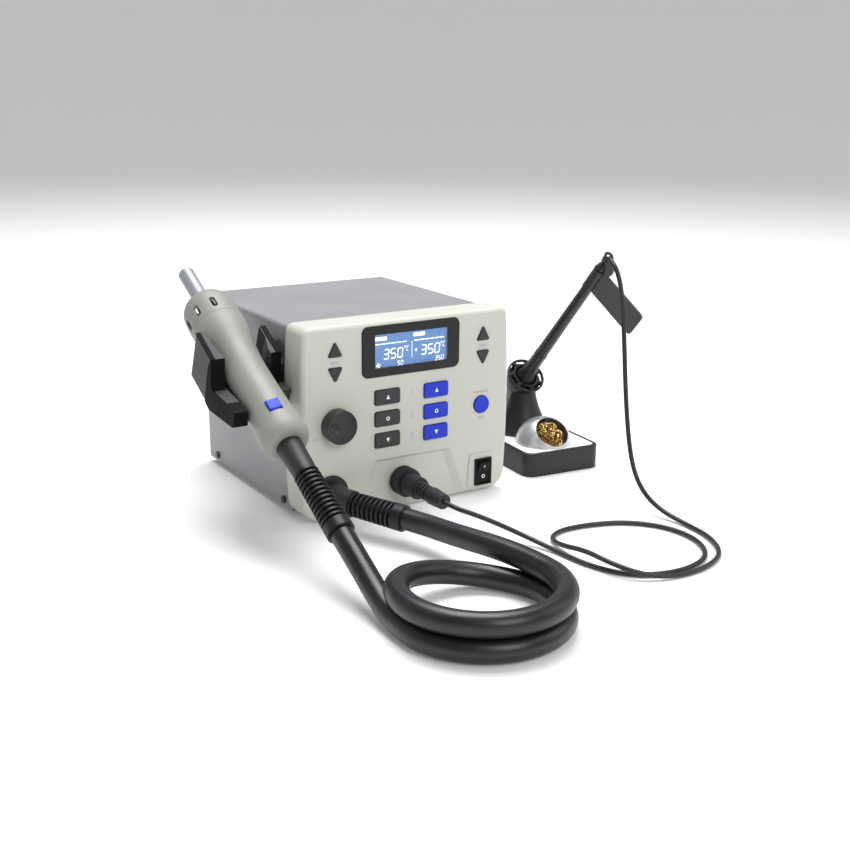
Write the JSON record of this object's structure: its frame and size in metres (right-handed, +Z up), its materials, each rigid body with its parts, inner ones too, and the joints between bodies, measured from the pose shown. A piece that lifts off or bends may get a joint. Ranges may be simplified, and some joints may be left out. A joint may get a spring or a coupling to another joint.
{
  "type": "hot air and soldering station",
  "caption": "Bench rework station: hot air handset in a side cradle with a coiled air hose, and a soldering iron in a separate stand.",
  "frame": {"origin": "middle of the underside of the station's front left rubber foot, on the bench", "axes": "+X right as seen from the front, +Y towards the rear (the front panel faces -Y), +Z up"},
  "size_m": [0.3314, 0.4246, 0.1829],
  "materials": {
    "air_duct": "matte",
    "airflow_knob": "satin",
    "base_tray": "satin",
    "blower_housing": "matte",
    "blower_impeller": "matte",
    "blower_motor": "satin",
    "brass_wool": "satin",
    "case_screws": "satin",
    "cleaner_dome": "satin",
    "cord_keeper": "matte",
    "cradle_body": "matte",
    "cradle_mount": "matte",
    "front_panel": "satin",
    "handset_button": "satin",
    "handset_front_cap": "satin",
    "handset_lower_shell": "satin",
    "handset_strain_relief": "matte",
    "handset_tail_sleeve": "matte",
    "handset_upper_shell": "satin",
    "heater_core": "satin",
    "hose_coil": "matte",
    "hose_handset_run": "matte",
    "hose_panel_run": "matte",
    "iron_bit": "satin",
    "iron_cord": "matte",
    "iron_grip": "matte",
    "iron_handle": "matte",
    "iron_socket": "polished",
    "lcd_frame": "gloss",
    "lcd_module": "gloss",
    "lcd_window": "clear",
    "mains_inlet": "satin",
    "memory_key_1": "satin",
    "memory_key_2": "satin",
    "memory_key_3": "satin",
    "nozzle_tube": "satin",
    "panel_board": "satin",
    "panel_boot": "matte",
    "panel_strain_relief": "matte",
    "plug_ring": "satin",
    "plug_shell": "satin",
    "power_board": "satin",
    "power_rocker": "gloss",
    "rear_panel": "satin",
    "rocker_frame": "satin",
    "rubber_feet": "matte",
    "set_key_1": "satin",
    "set_key_2": "satin",
    "set_key_3": "satin",
    "stand_base": "matte",
    "stand_deck": "satin",
    "stand_hub": "matte",
    "stand_pillar": "matte",
    "standby_key": "satin",
    "temp_down_key": "satin",
    "temp_up_key": "satin",
    "time_down_key": "satin",
    "time_up_key": "satin",
    "top_cover": "satin",
    "transformer": "satin"
  },
  "bodies": {
    "station": {"air_duct": "air_duct", "base_tray": "base_tray", "blower_housing": "blower_housing", "blower_motor": "blower_motor", "brass_wool": "brass_wool", "case_screws": "case_screws", "cleaner_dome": "cleaner_dome", "cradle_body": "cradle_body", "cradle_mount": "cradle_mount", "front_panel": "front_panel", "hose_coil": "hose_coil", "hose_handset_run": "hose_handset_run", "hose_panel_run": "hose_panel_run", "iron_cord": "iron_cord", "iron_socket": "iron_socket", "lcd_frame": "lcd_frame", "lcd_module": "lcd_module", "lcd_window": "lcd_window", "mains_inlet": "mains_inlet", "panel_board": "panel_board", "panel_boot": "panel_boot", "panel_strain_relief": "panel_strain_relief", "plug_shell": "plug_shell", "power_board": "power_board", "rear_panel": "rear_panel", "rocker_frame": "rocker_frame", "rubber_feet": "rubber_feet", "stand_base": "stand_base", "stand_deck": "stand_deck", "stand_hub": "stand_hub", "stand_pillar": "stand_pillar", "top_cover": "top_cover", "transformer": "transformer"},
    "handset": {"nozzle_tube": "nozzle_tube", "handset_front_cap": "handset_front_cap", "handset_upper_shell": "handset_upper_shell", "handset_lower_shell": "handset_lower_shell", "heater_core": "heater_core", "handset_tail_sleeve": "handset_tail_sleeve", "handset_strain_relief": "handset_strain_relief"},
    "trigger": {"handset_button": "handset_button"},
    "iron": {"iron_bit": "iron_bit", "iron_grip": "iron_grip", "iron_handle": "iron_handle", "cord_keeper": "cord_keeper"},
    "knob": {"airflow_knob": "airflow_knob"},
    "rocker": {"power_rocker": "power_rocker"},
    "impeller": {"blower_impeller": "blower_impeller"},
    "lock_ring": {"plug_ring": "plug_ring"},
    "temp_up_press": {"temp_up_key": "temp_up_key"},
    "temp_down_press": {"temp_down_key": "temp_down_key"},
    "time_up_press": {"time_up_key": "time_up_key"},
    "time_down_press": {"time_down_key": "time_down_key"},
    "memory_press_1": {"memory_key_1": "memory_key_1"},
    "memory_press_2": {"memory_key_2": "memory_key_2"},
    "memory_press_3": {"memory_key_3": "memory_key_3"},
    "set_press_1": {"set_key_1": "set_key_1"},
    "set_press_2": {"set_key_2": "set_key_2"},
    "set_press_3": {"set_key_3": "set_key_3"},
    "standby_press": {"standby_key": "standby_key"}
  },
  "joints": [
    {"name": "temp_up_slide", "type": "slide", "parent": "station", "child": "temp_up_press", "axis": [0, 1, 0], "range_m": [0, 0.001], "stiffness_N_per_m": 300},
    {"name": "temp_down_slide", "type": "slide", "parent": "station", "child": "temp_down_press", "axis": [0, 1, 0], "range_m": [0, 0.001], "stiffness_N_per_m": 300},
    {"name": "time_up_slide", "type": "slide", "parent": "station", "child": "time_up_press", "axis": [0, 1, 0], "range_m": [0, 0.001], "stiffness_N_per_m": 300},
    {"name": "time_down_slide", "type": "slide", "parent": "station", "child": "time_down_press", "axis": [0, 1, 0], "range_m": [0, 0.001], "stiffness_N_per_m": 300},
    {"name": "memory_slide_1", "type": "slide", "parent": "station", "child": "memory_press_1", "axis": [0, 1, 0], "range_m": [0, 0.001], "stiffness_N_per_m": 300},
    {"name": "memory_slide_2", "type": "slide", "parent": "station", "child": "memory_press_2", "axis": [0, 1, 0], "range_m": [0, 0.001], "stiffness_N_per_m": 300},
    {"name": "memory_slide_3", "type": "slide", "parent": "station", "child": "memory_press_3", "axis": [0, 1, 0], "range_m": [0, 0.001], "stiffness_N_per_m": 300},
    {"name": "set_slide_1", "type": "slide", "parent": "station", "child": "set_press_1", "axis": [0, 1, 0], "range_m": [0, 0.001], "stiffness_N_per_m": 300},
    {"name": "set_slide_2", "type": "slide", "parent": "station", "child": "set_press_2", "axis": [0, 1, 0], "range_m": [0, 0.001], "stiffness_N_per_m": 300},
    {"name": "set_slide_3", "type": "slide", "parent": "station", "child": "set_press_3", "axis": [0, 1, 0], "range_m": [0, 0.001], "stiffness_N_per_m": 300},
    {"name": "standby_slide", "type": "slide", "parent": "station", "child": "standby_press", "axis": [0, 1, 0], "range_m": [0, 0.001], "stiffness_N_per_m": 300},
    {"name": "airflow_turn", "type": "hinge", "parent": "station", "child": "knob", "pos_m": [0.008, -0.045, 0.0714], "axis": [0, 1, 0], "range_deg": [0, 270]},
    {"name": "power_rock", "type": "hinge", "parent": "station", "child": "rocker", "pos_m": [0.1321, -0.039, 0.0171], "axis": [1, 0, 0], "range_deg": [-20, 0]},
    {"name": "impeller_spin", "type": "hinge", "parent": "station", "child": "impeller", "pos_m": [0.003, 0.065, 0.046], "axis": [1, 0, 0], "continuous": true},
    {"name": "lock_ring_turn", "type": "hinge", "parent": "station", "child": "lock_ring", "pos_m": [0.0615, -0.045, 0.0223], "axis": [0, 1, 0], "range_deg": [0, 60]},
    {"name": "handset_lift", "type": "slide", "parent": "station", "child": "handset", "axis": [0, -0.4617, 0.887], "range_m": [0, 0.05]},
    {"name": "trigger_press", "type": "slide", "parent": "handset", "child": "trigger", "axis": [0.2079, 0.4517, -0.8676], "range_m": [0, 0.001], "stiffness_N_per_m": 300},
    {"name": "iron_pull", "type": "slide", "parent": "station", "child": "iron", "axis": [-0.0602, -0.6883, 0.723], "range_m": [0, 0.07]}
  ]
}
